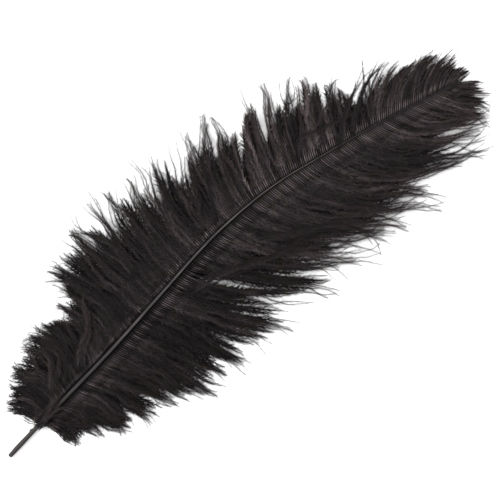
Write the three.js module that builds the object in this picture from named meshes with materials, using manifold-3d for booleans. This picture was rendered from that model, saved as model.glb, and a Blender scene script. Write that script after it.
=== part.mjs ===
// An ostrich plume lying on a surface. Millimetres, +Z up, +X from the cut quill to the feather's tip,
// +Y towards the feather's left vane. The origin is under the middle of the plume, on the surface.
//
// The plume has three pieces: the shaft, which is one horny spike from quill to tip, and the two vanes of
// soft barbs that grow from its sides. The shaft bows up clear of the surface and the barbs droop from it
// until they lie on the surface, so the plume rests on the undersides of its vanes.
import * as THREE from "three";
import { mergeVertices } from "three/addons/utils/BufferGeometryUtils.js";
import Module from "manifold-3d";

// Shaft, by distance along the feather: how far it bows to the left, how high its axis lies,
// and how wide and deep it is there.
const SHAFT_STATIONS = [
  { x: 0, bow: 0, rise: 1.5, width: 2.3, depth: 2.2 },
  { x: 7, bow: 0.9, rise: 1.8, width: 2.8, depth: 2.6 },
  { x: 22, bow: 2.6, rise: 2.6, width: 2.5, depth: 2.5 },
  { x: 45, bow: 5, rise: 4.4, width: 2.8, depth: 2.4 },
  { x: 77, bow: 8.4, rise: 7.2, width: 2.5, depth: 2.2 },
  { x: 117, bow: 14.1, rise: 9.6, width: 2.1, depth: 1.9 },
  { x: 160, bow: 20.1, rise: 10.6, width: 1.8, depth: 1.7 },
  { x: 190, bow: 21.4, rise: 10.2, width: 1.5, depth: 1.5 },
  { x: 212, bow: 20.1, rise: 9.4, width: 1.3, depth: 1.3 },
  { x: 232, bow: 17, rise: 8.4, width: 1.15, depth: 1.15 },
  { x: 261, bow: 12, rise: 6.7, width: 0.95, depth: 1 },
  { x: 290, bow: 6, rise: 4.7, width: 0.75, depth: 0.8 },
  { x: 321, bow: -0.5, rise: 3, width: 0.5, depth: 0.5 },
];
const SHAFT_RINGS = 64;
const SHAFT_TIP_SHARE = 0.3; // the last ring closes to this share of its width

// One side of the shaft's section, top to bottom: half widths and heights as shares of the full width and
// depth. The flat at the top is the ridge that shows between the barbs; the quill's section is round.
const RACHIS_SIDE = [
  [0.3, 0.5],
  [0.38, 0.42],
  [0.5, 0.05],
  [0.44, -0.3],
  [0.2, -0.5],
];
const QUILL_ROUND_END = 14; // the section is round up to here
const QUILL_RIDGED_FROM = 40; // and has its ridge from here on

// The hollow that the cut opens in the quill.
const QUILL_BORE_DIAMETER = 1.2;
const QUILL_BORE_DEPTH = 8;

// The stub of a lost barb on the left of the quill, half sunk in it: a bead longer than it is wide.
const STUB_AT = 18;
const STUB_LENGTH = 2.4;
const STUB_WIDTH = 1.3;
const STUB_DETAIL = 2;

// The barbs of each vane, by where their roots sit along the feather: their length, and their heading at the
// root and at the tip, in degrees away from the feather's own direction.
const LEFT_BARBS = [
  { x: 24, length: 21, leaves: 100, ends: 145 },
  { x: 30, length: 26, leaves: 85, ends: 139 },
  { x: 38, length: 31, leaves: 78, ends: 141 },
  { x: 46, length: 36, leaves: 70, ends: 130 },
  { x: 54, length: 41, leaves: 66, ends: 124 },
  { x: 62, length: 39, leaves: 65, ends: 113 },
  { x: 71, length: 35, leaves: 68, ends: 105 },
  { x: 82, length: 47, leaves: 75, ends: 100 },
  { x: 92, length: 55, leaves: 82, ends: 114 },
  { x: 106, length: 60, leaves: 94, ends: 88 },
  { x: 122, length: 63, leaves: 98, ends: 82 },
  { x: 140, length: 57, leaves: 98, ends: 76 },
  { x: 155, length: 59, leaves: 97, ends: 65 },
  { x: 168, length: 56, leaves: 92, ends: 57 },
  { x: 182, length: 57, leaves: 90, ends: 55 },
  { x: 196, length: 50, leaves: 82, ends: 50 },
  { x: 210, length: 56, leaves: 74, ends: 50 },
  { x: 228, length: 49, leaves: 66, ends: 52 },
  { x: 240, length: 45, leaves: 64, ends: 60 },
  { x: 252, length: 34, leaves: 62, ends: 58 },
  { x: 264, length: 27, leaves: 62, ends: 44 },
  { x: 276, length: 29, leaves: 56, ends: 22 },
  { x: 290, length: 29, leaves: 52, ends: 30 },
  { x: 302, length: 28, leaves: 50, ends: 25 },
  { x: 312, length: 20, leaves: 45, ends: 16 },
  { x: 320, length: 12, leaves: 30, ends: 13 },
];
const RIGHT_BARBS = [
  { x: 25, length: 26, leaves: 58, ends: 82 },
  { x: 32, length: 30, leaves: 52, ends: 70 },
  { x: 40, length: 40, leaves: 52, ends: 67 },
  { x: 50, length: 42, leaves: 56, ends: 71 },
  { x: 60, length: 47, leaves: 56, ends: 66 },
  { x: 72, length: 49, leaves: 60, ends: 69 },
  { x: 86, length: 57, leaves: 64, ends: 74 },
  { x: 100, length: 61, leaves: 66, ends: 66 },
  { x: 114, length: 63, leaves: 70, ends: 57 },
  { x: 128, length: 71, leaves: 70, ends: 45 },
  { x: 142, length: 80, leaves: 70, ends: 44 },
  { x: 154, length: 83, leaves: 72, ends: 44 },
  { x: 168, length: 89, leaves: 76, ends: 34 },
  { x: 180, length: 90, leaves: 78, ends: 37 },
  { x: 192, length: 87, leaves: 80, ends: 35 },
  { x: 204, length: 87, leaves: 84, ends: 30 },
  { x: 216, length: 88, leaves: 86, ends: 25 },
  { x: 228, length: 88, leaves: 88, ends: 19 },
  { x: 240, length: 90, leaves: 88, ends: 18 },
  { x: 252, length: 80, leaves: 86, ends: 19 },
  { x: 264, length: 68, leaves: 84, ends: 17 },
  { x: 276, length: 62, leaves: 80, ends: 17 },
  { x: 288, length: 49, leaves: 76, ends: 17 },
  { x: 299, length: 36, leaves: 66, ends: 15 },
  { x: 310, length: 24, leaves: 50, ends: 15 },
  { x: 320, length: 12, leaves: 20, ends: 8 },
];
const LEFT_TURN = 1; // how early a barb turns from its first heading to its last: 1 is evenly
const RIGHT_TURN = 2;

// The mass of barbs: how deep it is at the shaft and at its edge, the share of a barb's length at which its
// underside has come down to the surface, and the gap that keeps a vane's mesh off the shaft's.
const ROOT_DEPTH = 1.4;
const EDGE_DEPTH = 1.8;
const TOUCHDOWN = 0.4;
const GAP = 0.35;
const VANE_COLUMNS = 60;
const VANE_ROWS = 9;

const wasm = await Module();
wasm.setup();

const shaftMaterial = new THREE.MeshStandardMaterial({ color: "#57504e", roughness: 0.5, metalness: 0 });
const vaneMaterial = new THREE.MeshStandardMaterial({ color: "#2a2526", roughness: 0.8, metalness: 0 });

// The value of one column of a station table at x, on a smooth curve through the stations.
function along(stations, column, x) {
  let i = 0;
  while (i < stations.length - 2 && x > stations[i + 1].x) i += 1;
  const slope = (k) => {
    const before = stations[Math.max(k - 1, 0)];
    const after = stations[Math.min(k + 1, stations.length - 1)];
    return (after[column] - before[column]) / (after.x - before.x);
  };
  const span = stations[i + 1].x - stations[i].x;
  const u = THREE.MathUtils.clamp((x - stations[i].x) / span, 0, 1);
  const start = stations[i][column];
  const end = stations[i + 1][column];
  return (
    start * (2 * u ** 3 - 3 * u ** 2 + 1) +
    end * (3 * u ** 2 - 2 * u ** 3) +
    span * slope(i) * (u ** 3 - 2 * u ** 2 + u) +
    span * slope(i + 1) * (u ** 3 - u ** 2)
  );
}

// The shaft's axis and its sideways direction at x.
function shaftAt(x) {
  const step = 0.5;
  const ahead = along(SHAFT_STATIONS, "bow", x + step) - along(SHAFT_STATIONS, "bow", x - step);
  const across = new THREE.Vector2(-ahead, 2 * step).normalize();
  return {
    axis: new THREE.Vector3(x, along(SHAFT_STATIONS, "bow", x), along(SHAFT_STATIONS, "rise", x)),
    across,
    width: along(SHAFT_STATIONS, "width", x),
    depth: along(SHAFT_STATIONS, "depth", x),
  };
}

// A closed mesh from rings of points that go out along one face of the piece and back along the other.
// Neighbouring rings are joined, and each end is filled by a strip from the one face to the other.
function closedLoft(rings) {
  const sides = rings[0].length;
  const positions = rings.flat().flatMap((p) => [p.x, p.y, p.z]);
  const faces = [];
  const addQuad = (a, b, c, d) => faces.push(a, b, c, a, c, d);
  for (let r = 0; r < rings.length - 1; r += 1) {
    for (let s = 0; s < sides; s += 1) {
      const a = r * sides + s;
      const b = r * sides + ((s + 1) % sides);
      addQuad(a, b, b + sides, a + sides);
    }
  }
  const last = (rings.length - 1) * sides;
  for (let s = 0; s < sides / 2 - 1; s += 1) {
    const back = sides - 1 - s;
    addQuad(s, back, back - 1, s + 1);
    addQuad(last + s, last + s + 1, last + back - 1, last + back);
  }
  const geometry = new THREE.BufferGeometry();
  geometry.setAttribute("position", new THREE.Float32BufferAttribute(positions, 3));
  geometry.setIndex(faces);
  return geometry;
}

// The section's outline as shares of width and depth, going round from the top right:
// round in the quill, ridged in the vanes, and blended between.
function sectionOutline(x) {
  const ridged = [
    ...RACHIS_SIDE.map(([across, up]) => [-across, up]),
    ...RACHIS_SIDE.toReversed(),
  ];
  const blend = THREE.MathUtils.smoothstep(x, QUILL_ROUND_END, QUILL_RIDGED_FROM);
  return ridged.map(([across, up]) => {
    const round = new THREE.Vector2(across, up).setLength(0.5);
    return [round.x + (across - round.x) * blend, round.y + (up - round.y) * blend];
  });
}

function shaftRing(x, share) {
  const { axis, across, width, depth } = shaftAt(x);
  return sectionOutline(x).map(([side, up]) => {
    const reach = side * width * share;
    return new THREE.Vector3(axis.x + across.x * reach, axis.y + across.y * reach, axis.z + up * depth * share);
  });
}

function asSolid(geometry) {
  const merged = mergeVertices(geometry);
  const vertProperties = Float32Array.from(merged.attributes.position.array);
  const triVerts = Uint32Array.from(merged.index.array);
  return new wasm.Manifold(new wasm.Mesh({ numProp: 3, vertProperties, triVerts }));
}

function asGeometry(solid) {
  const mesh = solid.getMesh();
  const geometry = new THREE.BufferGeometry();
  geometry.setAttribute("position", new THREE.BufferAttribute(mesh.vertProperties, 3));
  geometry.setIndex(new THREE.BufferAttribute(mesh.triVerts, 1));
  return geometry;
}

function makeStub() {
  const { axis, across, width } = shaftAt(STUB_AT);
  const bead = new THREE.IcosahedronGeometry(0.5, STUB_DETAIL);
  bead.deleteAttribute("normal");
  bead.deleteAttribute("uv");
  bead.scale(STUB_LENGTH, STUB_WIDTH, STUB_WIDTH);
  bead.rotateZ(Math.atan2(-across.x, across.y));
  bead.translate(axis.x + (across.x * width) / 2, axis.y + (across.y * width) / 2, axis.z);
  return asSolid(bead);
}

// The spike's outside from the cut end to the tip, with the bore's wall and floor leading in.
function makeShaft() {
  const length = SHAFT_STATIONS.at(-1).x;
  const boreRing = (x) => shaftRing(x, QUILL_BORE_DIAMETER / shaftAt(x).width);
  const rings = [boreRing(QUILL_BORE_DEPTH), boreRing(0)];
  for (let i = 0; i <= SHAFT_RINGS; i += 1) {
    rings.push(shaftRing((length * i) / SHAFT_RINGS, i === SHAFT_RINGS ? SHAFT_TIP_SHARE : 1));
  }
  return asGeometry(asSolid(closedLoft(rings)).add(makeStub()));
}

// One vane: a deep sheet over the paths of its barbs. Each column of the sheet follows one barb from the
// shaft to its tip, and its ring of points goes out along the underside and back along the top.
function vaneColumn(stations, side, turn, x) {
  const { axis, across, width } = shaftAt(x);
  const root = new THREE.Vector2(axis.x, axis.y).addScaledVector(across, side * (width / 2 + GAP));
  const length = along(stations, "length", x);
  const leaves = along(stations, "leaves", x);
  const ends = along(stations, "ends", x);
  const under = [];
  const over = [];
  for (let row = 0; row <= VANE_ROWS; row += 1) {
    const t = row / VANE_ROWS;
    const lift = 1 - THREE.MathUtils.smoothstep(t, 0, TOUCHDOWN);
    const drape = 1 - THREE.MathUtils.smoothstep(t, 0, 1);
    const top = EDGE_DEPTH + (axis.z + ROOT_DEPTH / 2 - EDGE_DEPTH) * drape;
    under.push(new THREE.Vector3(root.x, root.y, (axis.z - ROOT_DEPTH / 2) * lift));
    over.unshift(new THREE.Vector3(root.x, root.y, top));
    const middle = (row + 0.5) / VANE_ROWS;
    const heading = THREE.MathUtils.degToRad(ends + (leaves - ends) * (1 - middle) ** turn);
    root.x += (length / VANE_ROWS) * Math.cos(heading);
    root.y += (length / VANE_ROWS) * Math.sin(heading) * side;
  }
  return side > 0 ? [...under, ...over] : [...under, ...over].reverse();
}

function makeVane(stations, side, turn) {
  const first = stations[0].x;
  const last = stations.at(-1).x;
  const columns = [];
  for (let i = 0; i <= VANE_COLUMNS; i += 1) {
    columns.push(vaneColumn(stations, side, turn, first + ((last - first) * i) / VANE_COLUMNS));
  }
  return closedLoft(columns);
}

const shaft = new THREE.Mesh(makeShaft(), shaftMaterial);
shaft.name = "shaft";
const vaneLeft = new THREE.Mesh(makeVane(LEFT_BARBS, 1, LEFT_TURN), vaneMaterial);
vaneLeft.name = "vane_left";
const vaneRight = new THREE.Mesh(makeVane(RIGHT_BARBS, -1, RIGHT_TURN), vaneMaterial);
vaneRight.name = "vane_right";

const plume = new THREE.Group();
plume.add(shaft, vaneLeft, vaneRight);
const middle = new THREE.Box3().setFromObject(plume).getCenter(new THREE.Vector3());
plume.position.set(-middle.x, -middle.y, 0);
plume.updateMatrixWorld(true);

export default plume;
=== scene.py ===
import math
from types import SimpleNamespace

import bmesh
import bpy
import numpy as np
from mathutils import Matrix, Vector


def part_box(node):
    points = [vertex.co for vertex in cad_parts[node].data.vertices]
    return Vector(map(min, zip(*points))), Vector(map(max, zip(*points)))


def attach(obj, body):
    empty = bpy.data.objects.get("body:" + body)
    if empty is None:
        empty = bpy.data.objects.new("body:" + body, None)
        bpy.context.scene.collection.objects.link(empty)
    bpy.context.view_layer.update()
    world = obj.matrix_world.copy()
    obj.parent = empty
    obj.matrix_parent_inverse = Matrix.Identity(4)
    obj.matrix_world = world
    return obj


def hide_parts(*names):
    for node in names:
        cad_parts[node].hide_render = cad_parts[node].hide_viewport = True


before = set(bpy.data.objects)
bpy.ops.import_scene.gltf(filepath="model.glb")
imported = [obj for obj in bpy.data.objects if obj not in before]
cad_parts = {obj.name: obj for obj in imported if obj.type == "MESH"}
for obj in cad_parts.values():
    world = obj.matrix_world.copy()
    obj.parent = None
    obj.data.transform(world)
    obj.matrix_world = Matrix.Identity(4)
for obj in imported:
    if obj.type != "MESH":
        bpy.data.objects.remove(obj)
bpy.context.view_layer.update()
MM = 0.001


# ------------------------------------------------------------------------------
# The shaft: one horny spike that grew as a piece, round and hollow in the bare quill and ridged where the
# barbs grow from it. Keratin dyed black, with a painted highlight on the ridge's top and painted shade
# beside it.
# ------------------------------------------------------------------------------
# distance from the cut end, bow to the left, height of the axis, width and depth, all in mm
SHAFT = np.array([
    (0, 0, 1.5, 2.3, 2.2),
    (7, 0.9, 1.8, 2.8, 2.6),
    (22, 2.6, 2.6, 2.5, 2.5),
    (45, 5, 4.4, 2.8, 2.4),
    (77, 8.4, 7.2, 2.5, 2.2),
    (117, 14.1, 9.6, 2.1, 1.9),
    (160, 20.1, 10.6, 1.8, 1.7),
    (190, 21.4, 10.2, 1.5, 1.5),
    (212, 20.1, 9.4, 1.3, 1.3),
    (232, 17, 8.4, 1.15, 1.15),
    (261, 12, 6.7, 0.95, 1),
    (290, 6, 4.7, 0.75, 0.8),
    (321, -0.5, 3, 0.5, 0.5),
])
SHAFT_BOW, SHAFT_RISE, SHAFT_WIDTH, SHAFT_DEPTH = 1, 2, 3, 4
SHAFT_LENGTH = SHAFT[-1, 0]
RING_STEP = 1.25
QUILL_RING_STEP = 0.5
TIP_SHARE = 0.3  # of the width and depth, at the very tip
# one side of the ridged section, top to bottom, as shares of its width and depth
RACHIS_SIDE = [
    (0.12, 0.52), (0.27, 0.5), (0.34, 0.44), (0.4, 0.3), (0.48, 0.12),
    (0.5, -0.02), (0.48, -0.18), (0.42, -0.34), (0.28, -0.46), (0.1, -0.5),
]
QUILL_ROUND_TO = 14  # mm from the cut end, as are the other places along the shaft
QUILL_RIDGED_FROM = 40
BORE_DIAMETER = 1.2
BORE_DEPTH = 8
BORE_ROUNDING = 0.8
CUT_EDGE = 0.15
STUB_AT = 18.4  # the healed stub of a lost barb, a small bead on the left of the quill
STUB_LENGTH = 1.8
STUB_HEIGHT = 0.7


def smoothstep(low, high, value):
    u = np.clip((np.asarray(value, float) - low) / (high - low), 0, 1)
    return u * u * (3 - 2 * u)


def along(stations, column, x):
    """One column of a station table at x, on a smooth curve through the stations."""
    at, value = stations[:, 0], stations[:, column]
    slope = np.empty(len(at))
    slope[1:-1] = (value[2:] - value[:-2]) / (at[2:] - at[:-2])
    slope[0] = (value[1] - value[0]) / (at[1] - at[0])
    slope[-1] = (value[-1] - value[-2]) / (at[-1] - at[-2])
    i = np.clip(np.searchsorted(at, x) - 1, 0, len(at) - 2)
    span = at[i + 1] - at[i]
    u = np.clip((x - at[i]) / span, 0, 1)
    return (
        value[i] * (2 * u**3 - 3 * u**2 + 1)
        + value[i + 1] * (3 * u**2 - 2 * u**3)
        + span * slope[i] * (u**3 - 2 * u**2 + u)
        + span * slope[i + 1] * (u**3 - u**2)
    )


def shaft_across(x):
    """Unit vectors across the shaft, to the left, at x."""
    ahead = along(SHAFT, SHAFT_BOW, x + 0.5) - along(SHAFT, SHAFT_BOW, x - 0.5)
    across = np.stack([-ahead, np.ones_like(ahead)], -1)
    return across / np.linalg.norm(across, axis=-1, keepdims=True)


def shaft_ring(x, share=1.0):
    """The shaft's section at x, as points going round it."""
    ridged = np.array([(-side, up) for side, up in RACHIS_SIDE] + RACHIS_SIDE[::-1])
    rounded = 0.5 * ridged / np.linalg.norm(ridged, axis=1, keepdims=True)
    outline = rounded + (ridged - rounded) * smoothstep(QUILL_ROUND_TO, QUILL_RIDGED_FROM, x)
    across = shaft_across(x)
    side = outline[:, 0] * along(SHAFT, SHAFT_WIDTH, x) * share
    stub = STUB_HEIGHT * math.exp(-((x - STUB_AT) / (STUB_LENGTH / 2)) ** 2)
    side = side + stub * (side > 0) * (2 * outline[:, 0]) ** 2
    up = outline[:, 1] * along(SHAFT, SHAFT_DEPTH, x) * share
    return np.column_stack([
        x + side * across[0],
        along(SHAFT, SHAFT_BOW, x) + side * across[1],
        along(SHAFT, SHAFT_RISE, x) + up,
    ])


def unwrapped(x):
    """How far along the shaft's skin x lies, 0 at the bottom of the bore and 1 at the tip."""
    return (x + BORE_DEPTH) / (SHAFT_LENGTH + BORE_DEPTH)


def make_shaft():
    """The shaft as rings from the bottom of the bore, out over the cut end and along to the tip."""
    bore = BORE_DIAMETER / SHAFT[0, SHAFT_WIDTH]
    bore_wall = BORE_DEPTH - BORE_ROUNDING
    rings = [(BORE_DEPTH, bore * 0.6), (bore_wall, bore * 0.9), (0, bore), (0, 0.9), (CUT_EDGE, 1)]
    rings += [(x, 1) for x in np.arange(QUILL_RING_STEP, QUILL_RIDGED_FROM, QUILL_RING_STEP)]
    rings += [(x, 1) for x in np.arange(QUILL_RIDGED_FROM, SHAFT_LENGTH - 0.5, RING_STEP)]
    rings += [(SHAFT_LENGTH, TIP_SHARE)]
    bm = bmesh.new()
    uv = bm.loops.layers.uv.new("OFBake")
    loops = [[bm.verts.new(p) for p in shaft_ring(float(x), share)] for x, share in rings]
    sides = len(loops[0])
    run = [unwrapped(x) for x, share in rings]
    run[:2] = [0, unwrapped(-bore_wall)]
    for r in range(len(loops) - 1):
        for s in range(sides):
            corners = ((r, s), (r, s + 1), (r + 1, s + 1), (r + 1, s))
            face = bm.faces.new([loops[ring][turn % sides] for ring, turn in corners])
            for loop, (ring, turn) in zip(face.loops, corners):
                loop[uv].uv = (run[ring], turn / sides)
    bm.faces.new(loops[0][::-1])
    bm.faces.new(loops[-1])
    for face in bm.faces:
        face.smooth = True
    bmesh.ops.recalc_face_normals(bm, faces=bm.faces)
    mesh = bpy.data.meshes.new("shaft_horn")
    bm.to_mesh(mesh)
    bm.free()
    return mesh


shaft_mesh = make_shaft()
lowest = np.array([v.co for v in shaft_mesh.vertices]).min(0)
corner = np.array(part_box("shaft")[0]) / MM
# from distances along the feather, in mm, to the frame's
SHIFT = np.array([corner[0] - lowest[0], corner[1] - lowest[1], 0])
shaft_mesh.transform(Matrix.Scale(MM, 4) @ Matrix.Translation(Vector(SHIFT)))
shaft = bpy.data.objects.new("shaft_horn", shaft_mesh)
bpy.context.scene.collection.objects.link(shaft)


def colour(text):
    """A linear colour from an sRGB hex value."""
    parts = [int(text[i:i + 2], 16) / 255 for i in (1, 3, 5)]
    return [c / 12.92 if c <= 0.04045 else ((c + 0.055) / 1.055) ** 2.4 for c in parts] + [1]


def add(tree, kind, inputs=None, **settings):
    """Adds a node. Settings are its properties, and inputs its values or the outputs that feed them."""
    node = tree.nodes.new(kind)
    for name, value in settings.items():
        setattr(node, name, value)
    for name, value in (inputs or {}).items():
        if isinstance(value, bpy.types.NodeSocket):
            tree.links.new(value, node.inputs[name])
        else:
            node.inputs[name].default_value = value
    return node


def ramp_stops(node, stops):
    """Gives a colour ramp its stops, each a place and a hex colour."""
    ramp = node.color_ramp
    while len(ramp.elements) > len(stops):
        ramp.elements.remove(ramp.elements[-1])
    while len(ramp.elements) < len(stops):
        ramp.elements.new(1)
    for element, (place, text) in zip(ramp.elements, stops):
        element.position = place
        element.color = colour(text)
    return node


def new_material(name):
    material = bpy.data.materials.new(name)
    material.use_nodes = True
    return material, material.node_tree, material.node_tree.nodes["Principled BSDF"]


# Dyed keratin: a hard satin horn. The ridge's top has a painted highlight and its flanks painted shade.
# The dye leaves patches that are a little paler or darker, long and narrow as the horn's grain.
RIDGE_STARTS = (22, 38)  # mm from the cut end, between which the plain quill gets its painted ridge highlight
PATCH_LENGTH = 8.3  # mm
PATCH_WIDTH = 1.1
horn, tree, surface = new_material("dyed feather keratin")
place = add(tree, "ShaderNodeUVMap", uv_map="OFBake")
around = add(tree, "ShaderNodeSeparateXYZ", {0: place.outputs[0]})
# mm from the cut end and the ridge's colour there
SHAFT_TONES = [
    (0, "#332c2c"), (26, "#2c2626"), (48, "#2a2525"), (72, "#2f2929"), (98, "#423b3b"), (150, "#413a3a"),
    (188, "#463f3f"), (228, "#3c3535"), (252, "#2d2828"), (321, "#1b1717"),
]
# painted highlight along the ridge's top, where the way round starts and ends, and painted shade on its
# flanks and underside
ridge = ramp_stops(
    add(tree, "ShaderNodeValToRGB", {0: around.outputs["Y"]}),
    [(0.02, "#ffffff"), (0.06, "#302b2a"), (0.3, "#201c1c"), (0.92, "#302b2a"), (0.96, "#ffffff")],
)
starts, full = [unwrapped(x) for x in RIDGE_STARTS]
ridged = add(tree, "ShaderNodeMapRange", {0: around.outputs["X"], 1: starts, 2: full, 3: 0.0, 4: 1.0})
by_length = ramp_stops(
    add(tree, "ShaderNodeValToRGB", {0: around.outputs["X"]}),
    [(unwrapped(x), text) for x, text in SHAFT_TONES],
)
strip = add(
    tree, "ShaderNodeMix", {0: ridged.outputs[0], 6: by_length.outputs[0], 7: ridge.outputs[0]},
    data_type="RGBA", blend_type="MULTIPLY",
)
coords = add(tree, "ShaderNodeTexCoord")
per_patch = (1 / (PATCH_LENGTH * MM), 1 / (PATCH_WIDTH * MM), 1 / (PATCH_WIDTH * MM))
stretched = add(tree, "ShaderNodeMapping", {"Vector": coords.outputs["Object"], "Scale": per_patch})
patches = add(tree, "ShaderNodeTexNoise", {"Vector": stretched.outputs[0], "Scale": 1.0, "Detail": 4.0})
patch_tone = ramp_stops(
    add(tree, "ShaderNodeValToRGB", {0: patches.outputs[0]}), [(0.35, "#a09898"), (0.65, "#ffffff")]
)
paint = add(
    tree, "ShaderNodeMix", {0: 1.0, 6: strip.outputs[2], 7: patch_tone.outputs[0]},
    data_type="RGBA", blend_type="MULTIPLY",
)
tree.links.new(paint.outputs[2], surface.inputs["Base Color"])
surface.inputs["Roughness"].default_value = 0.5
surface.inputs["IOR"].default_value = 1.5
surface.inputs["Specular IOR Level"].default_value = 0.25
shaft_mesh.materials.append(horn)
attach(shaft, "root")
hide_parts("shaft")


# ------------------------------------------------------------------------------
# The vanes: on each side of the shaft several hundred soft barbs grow out, droop and gather into locks.
# Every barb carries two rows of long loose barbules with no hooks, which is what makes the plume fluffy.
# They are the same keratin as the shaft, dyed black, and grow from its flanks.
# ------------------------------------------------------------------------------
# root's distance along the feather and barb length in mm, heading at the root and at the tip in degrees
LEFT_BARBS = np.array([
    (24, 21, 100, 145), (30, 26, 85, 139), (38, 31, 78, 141), (46, 36, 70, 130), (54, 41, 66, 124),
    (62, 39, 65, 113), (71, 35, 68, 105), (82, 47, 75, 100), (92, 55, 82, 114), (106, 60, 94, 88),
    (122, 63, 98, 82), (140, 57, 98, 76), (155, 59, 97, 65), (168, 56, 92, 57), (182, 57, 90, 55),
    (196, 50, 82, 50), (210, 56, 74, 50), (228, 49, 66, 52), (240, 45, 64, 60), (252, 34, 62, 58),
    (264, 31, 62, 36), (276, 36, 56, 8), (290, 34, 54, 2), (302, 28, 50, -3), (312, 21, 44, -6),
    (320, 13, 18, -12),
], float)
RIGHT_BARBS = np.array([
    (25, 26, 58, 82), (32, 30, 52, 70), (40, 40, 52, 67), (50, 42, 56, 71), (60, 47, 56, 66),
    (72, 49, 60, 69), (86, 57, 64, 74), (100, 61, 66, 66), (114, 63, 70, 57), (128, 71, 70, 45),
    (142, 80, 70, 44), (154, 83, 72, 44), (168, 89, 76, 34), (180, 90, 78, 37), (192, 87, 80, 35),
    (204, 87, 84, 30), (216, 88, 86, 25), (228, 88, 88, 19), (240, 90, 88, 18), (252, 80, 86, 19),
    (264, 68, 84, 17), (276, 61, 80, 22), (288, 50, 78, 32), (299, 37, 72, 43), (310, 28, 64, 45),
    (320, 15, 44, 32),
], float)
BARB_LENGTH, BARB_LEAVES, BARB_ENDS = 1, 2, 3
# where a lock ends along the shaft in mm, the degrees it is swung back, how far its wisps and its body
# reach as shares of the barb length, and how closely it is gathered
LEFT_LOCKS = np.array([
    (29, 0, 0.97, 0.92, 0.2), (36, 0, 1, 0.98, 0.2), (43, 0, 1.02, 0.98, 0.2), (50, 2, 0.98, 0.94, 0.2),
    (57, 0, 1, 0.95, 0.2), (64, -3, 0.98, 0.93, 0.2), (71, 0, 0.94, 0.94, 0.2), (79, 0, 1, 1, 0.2),
    (86, 2, 0.94, 0.94, 0.2), (95, 2, 1.02, 1, 0.2), (103, 5, 1, 0.95, 0.2), (111, 9, 1, 0.9, 0.3),
    (121, 15, 1.0, 0.82, 0.2), (129, 2, 0.98, 0.74, 0.2), (138, 0, 1.1, 0.84, 0.2),
    (146, 0, 1.12, 0.72, 0.2), (153, -2, 1.12, 0.72, 0.2), (160, 0, 1.0, 0.86, 0.6),
    (164.5, 0, 0.7, 0.64, 0.2), (168, -2, 1.06, 0.6, 0.3), (176, 0, 1.05, 0.68, 0.3),
    (185, -1, 1.0, 0.74, 0.3), (188, 0, 0.84, 0.74, 0.2), (195, 1, 0.98, 0.8, 0.3),
    (198, 2, 0.6, 0.54, 0.2), (206, 4, 0.98, 0.78, 0.5), (209, 9, 1, 0.7, 0.9),
    (212.5, 0, 0.56, 0.5, 0.2), (219, 0, 0.92, 0.72, 0.6), (227, 0, 1.04, 0.68, 0.2),
    (233, 0, 0.98, 0.66, 0.2), (243, -1, 1, 0.84, 0.7), (246, 0, 0.64, 0.58, 0.2),
    (253, 0, 0.98, 0.86, 0.8), (255, 0, 0.6, 0.54, 0.2), (259, 0, 0.87, 0.76, 0.7),
    (266, -4, 0.87, 0.66, 0.4), (273, -8, 1.15, 0.88, 0.3), (281, -6, 1.08, 0.9, 0.3),
    (290, -4, 1.02, 0.92, 0.3), (300, 0, 1.02, 0.9, 0.3), (311, 0, 1.1, 0.82, 0.2),
    (330, 0, 1.02, 0.7, 0),
])
RIGHT_LOCKS = np.array([
    (31, 9, 0.82, 0.8, 0.3), (37, 4, 0.85, 0.66, 0.4), (45, 0, 0.95, 0.9, 0.2), (53, 2, 0.9, 0.82, 0.3),
    (60, 0, 1.04, 0.88, 0.6), (65, 0, 0.72, 0.62, 0.2), (71, 2, 0.98, 0.8, 0.6),
    (73, 0, 0.76, 0.7, 0.2), (80, -1, 0.98, 0.93, 0.3), (90, 0, 1.03, 0.98, 0.1), (99, 0, 1, 0.93, 0.1),
    (107, 0, 1.03, 0.95, 0.1), (113, 9, 0.98, 0.92, 0.6), (121, 0, 1.06, 0.93, 0.2),
    (130, 1, 1.08, 0.88, 0.4), (133, 0, 0.74, 0.68, 0.2), (138, -5, 1.03, 0.84, 0.6),
    (144.5, -2, 0.36, 0.32, 0.2), (152, -1, 0.98, 0.82, 0.7), (155, -1, 0.74, 0.66, 0.2),
    (163, -4, 0.95, 0.7, 0.5), (172, 1, 0.94, 0.68, 0.4), (177, 3, 0.95, 0.68, 0.5),
    (181, 0, 0.58, 0.52, 0.2), (190, 1, 0.95, 0.68, 0.5), (200, 0, 0.97, 0.78, 0.3),
    (210, 3, 0.97, 0.8, 0.3), (219, 4, 0.96, 0.76, 0.3), (229, 7, 0.95, 0.7, 0.4),
    (239, 3, 1.0, 0.7, 0.5), (250, 7, 0.86, 0.66, 0.5), (262, 0, 1.04, 0.72, 0.7),
    (272, -2, 1, 0.66, 0.5), (282, -1, 1, 0.68, 0.4), (292, 0, 1.02, 0.7, 0.4),
    (303, 0, 1.12, 0.86, 0.3), (330, 0, 1.04, 0.8, 0),
])
# side: 1 is left of the shaft and -1 right of it
# turn: 1 turns the barbs evenly from root to tip, and more turns them closer to the shaft
# comb: mm of neat comb beside the shaft before the fluff starts
# dark: mm of painted shade beside the shaft, and the places along the shaft between which it fades out
# crest: how far from the shaft the comb's painted highlight is palest, over what width and by how much
# tone: how pale the barbs are, and how much paler they get along the shaft
LEFT_VANE = SimpleNamespace(
    side=1, barbs=LEFT_BARBS, locks=LEFT_LOCKS, turn=1.0, comb=4, dark=(2.9, 120, 185),
    crest=(3.6, 1.8, 0.7), tone=(0.13, 0.33), seed=11,
)
RIGHT_VANE = SimpleNamespace(
    side=-1, barbs=RIGHT_BARBS, locks=RIGHT_LOCKS, turn=2.0, comb=9, dark=(4.8, 160, 225),
    crest=(7.0, 4.2, 0.38), tone=(0.2, 0.15), seed=23,
)

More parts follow.
